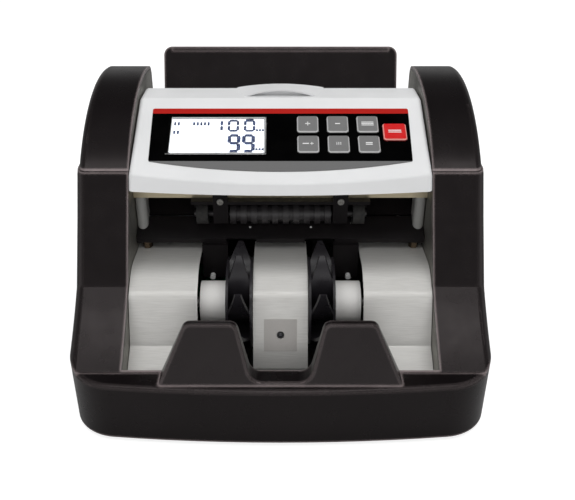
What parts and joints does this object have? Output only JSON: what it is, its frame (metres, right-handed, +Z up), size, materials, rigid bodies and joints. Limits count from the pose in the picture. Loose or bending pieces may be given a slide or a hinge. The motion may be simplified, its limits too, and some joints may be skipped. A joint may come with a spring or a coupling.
{
  "type": "banknote counting machine",
  "caption": "Table-top banknote counter: rear hopper, sloping control head with display and keys, friction feed and a front stacking pocket with bladed wheels.",
  "frame": {"origin": "under the middle of the machine, on the plane that its four feet stand on", "axes": "+X to the right as seen from the front, +Y to the back, +Z up"},
  "size_m": [0.2924, 0.25, 0.206],
  "materials": {
    "housing_black": "gloss",
    "head_white": "satin",
    "film_black": "printed film",
    "window_clear": "clear",
    "lcd_blue_white": "backlit",
    "board_green": "solder mask",
    "key_grey": "satin",
    "key_red": "satin",
    "guide_black": "fine texture",
    "frame_steel": "zinc plated",
    "plate_steel": "brushed",
    "guide_brass": "passivated",
    "roller_black": "satin",
    "tyre_rubber": "matt",
    "wheel_black": "satin",
    "drum_chrome": "polished",
    "shaft_steel": "ground",
    "pulley_black": "moulded",
    "belt_rubber": "matt",
    "foot_rubber": "matt",
    "motor_steel": "plated",
    "core_steel": "laminated",
    "bush_bronze": "sintered",
    "pin_white": "satin",
    "block_grey": "satin",
    "inlet_black": "moulded",
    "fixing_steel": "plated"
  },
  "bodies": {
    "housing": {"bar_end_blocks": "block_grey", "base_pan": "frame_steel", "control_overlay": "film_black", "display_board": "board_green", "display_module": "lcd_blue_white", "display_window": "window_clear", "drive_belts": "belt_rubber", "exit_bar": "guide_black", "feed_deck": "guide_black", "fuse_holder": "inlet_black", "head_cover": "head_white", "hopper_plate": "housing_black", "lower_housing": "housing_black", "main_board": "board_green", "main_motor": "motor_steel", "note_sensors": "inlet_black", "pad_bridge": "frame_steel", "power_entry": "inlet_black", "rear_cover": "housing_black", "roller_frame": "guide_black", "rubber_feet": "foot_rubber", "screws_and_studs": "fixing_steel", "shaft_bushes": "bush_bronze", "side_frame_left": "frame_steel", "side_frame_right": "frame_steel", "slot_wipers": "guide_black", "stacker_centre_plate": "plate_steel", "stacker_side_plates": "plate_steel", "top_cap_left": "housing_black", "top_cap_right": "housing_black", "transformer": "core_steel", "upper_guide": "guide_brass", "wiper_pins": "pin_white"},
    "feed": {"feed_shaft": "shaft_steel", "feed_rollers": "tyre_rubber", "feed_pulley": "pulley_black"},
    "pickup": {"pickup_shaft": "shaft_steel", "pickup_rollers": "tyre_rubber"},
    "transport": {"transport_shaft": "shaft_steel", "transport_rollers": "tyre_rubber"},
    "exit_idler": {"ribbed_roller": "roller_black", "idler_end_rollers": "tyre_rubber"},
    "stacker": {"stacker_shaft": "shaft_steel", "stacker_wheel_left": "wheel_black", "stacker_wheel_right": "wheel_black", "stacker_drums": "drum_chrome", "stacker_pulley": "pulley_black"},
    "motor_rotor": {"motor_pulley": "pulley_black"},
    "pad_slider": {"pad_holder": "guide_black", "retard_pads": "tyre_rubber"},
    "pad_screw": {"adjusting_screw": "shaft_steel"},
    "switch_rocker": {"power_rocker": "inlet_black"},
    "key_plus_body": {"key_plus": "key_grey"},
    "key_minus_body": {"key_minus": "key_grey"},
    "key_batch_body": {"key_batch": "key_grey"},
    "key_add_body": {"key_add": "key_grey"},
    "key_mode_body": {"key_mode": "key_grey"},
    "key_check_body": {"key_check": "key_grey"},
    "key_restart_body": {"key_restart": "key_red"}
  },
  "joints": [
    {"name": "feed_spin", "type": "hinge", "parent": "housing", "child": "feed", "pos_m": [0, 0.058, 0.1148], "axis": [1, 0, 0], "continuous": true},
    {"name": "pickup_spin", "type": "hinge", "parent": "housing", "child": "pickup", "pos_m": [0, 0.08503, 0.13941], "axis": [1, 0, 0], "continuous": true},
    {"name": "transport_spin", "type": "hinge", "parent": "housing", "child": "transport", "pos_m": [0, 0.00994, 0.10021], "axis": [1, 0, 0], "continuous": true},
    {"name": "exit_idler_spin", "type": "hinge", "parent": "housing", "child": "exit_idler", "pos_m": [0, 0.00063, 0.11498], "axis": [1, 0, 0], "continuous": true},
    {"name": "stacker_spin", "type": "hinge", "parent": "housing", "child": "stacker", "pos_m": [0, -0.037, 0.06], "axis": [1, 0, 0], "continuous": true},
    {"name": "motor_spin", "type": "hinge", "parent": "housing", "child": "motor_rotor", "pos_m": [0, 0.076, 0.07], "axis": [1, 0, 0], "continuous": true},
    {"name": "pad_screw_turn", "type": "hinge", "parent": "housing", "child": "pad_screw", "pos_m": [0, 0.052, 0.16], "axis": [0, 0, 1], "range_deg": [-180, 180]},
    {"name": "pad_slide", "type": "slide", "parent": "housing", "child": "pad_slider", "axis": [0, 0, 1], "range_m": [-0.00035, 0.00035]},
    {"name": "key_plus_press", "type": "slide", "parent": "housing", "child": "key_plus_body", "axis": [0, 0.3892, -0.9211], "range_m": [0, 0.0008], "stiffness_N_per_m": 400, "springref_m": -0.0006},
    {"name": "key_minus_press", "type": "slide", "parent": "housing", "child": "key_minus_body", "axis": [0, 0.3892, -0.9211], "range_m": [0, 0.0008], "stiffness_N_per_m": 400, "springref_m": -0.0006},
    {"name": "key_batch_press", "type": "slide", "parent": "housing", "child": "key_batch_body", "axis": [0, 0.3892, -0.9211], "range_m": [0, 0.0008], "stiffness_N_per_m": 400, "springref_m": -0.0006},
    {"name": "key_add_press", "type": "slide", "parent": "housing", "child": "key_add_body", "axis": [0, 0.3892, -0.9211], "range_m": [0, 0.0008], "stiffness_N_per_m": 400, "springref_m": -0.0006},
    {"name": "key_mode_press", "type": "slide", "parent": "housing", "child": "key_mode_body", "axis": [0, 0.3892, -0.9211], "range_m": [0, 0.0008], "stiffness_N_per_m": 400, "springref_m": -0.0006},
    {"name": "key_check_press", "type": "slide", "parent": "housing", "child": "key_check_body", "axis": [0, 0.3892, -0.9211], "range_m": [0, 0.0008], "stiffness_N_per_m": 400, "springref_m": -0.0006},
    {"name": "key_restart_press", "type": "slide", "parent": "housing", "child": "key_restart_body", "axis": [0, 0.3892, -0.9211], "range_m": [0, 0.0008], "stiffness_N_per_m": 400, "springref_m": -0.0006},
    {"name": "power_rocker_tilt", "type": "hinge", "parent": "housing", "child": "switch_rocker", "pos_m": [-0.05, 0.1204, 0.04], "axis": [1, 0, 0], "range_deg": [0, 18]}
  ],
  "couplings": [
    {"joint": "pickup_spin", "follows": "feed_spin", "ratio": 1.375},
    {"joint": "transport_spin", "follows": "feed_spin", "ratio": 2.5},
    {"joint": "stacker_spin", "follows": "feed_spin", "ratio": 0.78947},
    {"joint": "motor_spin", "follows": "feed_spin", "ratio": 1.8889},
    {"joint": "exit_idler_spin", "follows": "feed_spin", "ratio": -2.8125},
    {"joint": "pad_screw_turn", "follows": "pad_slide", "rad_per_m": 8975.9}
  ]
}
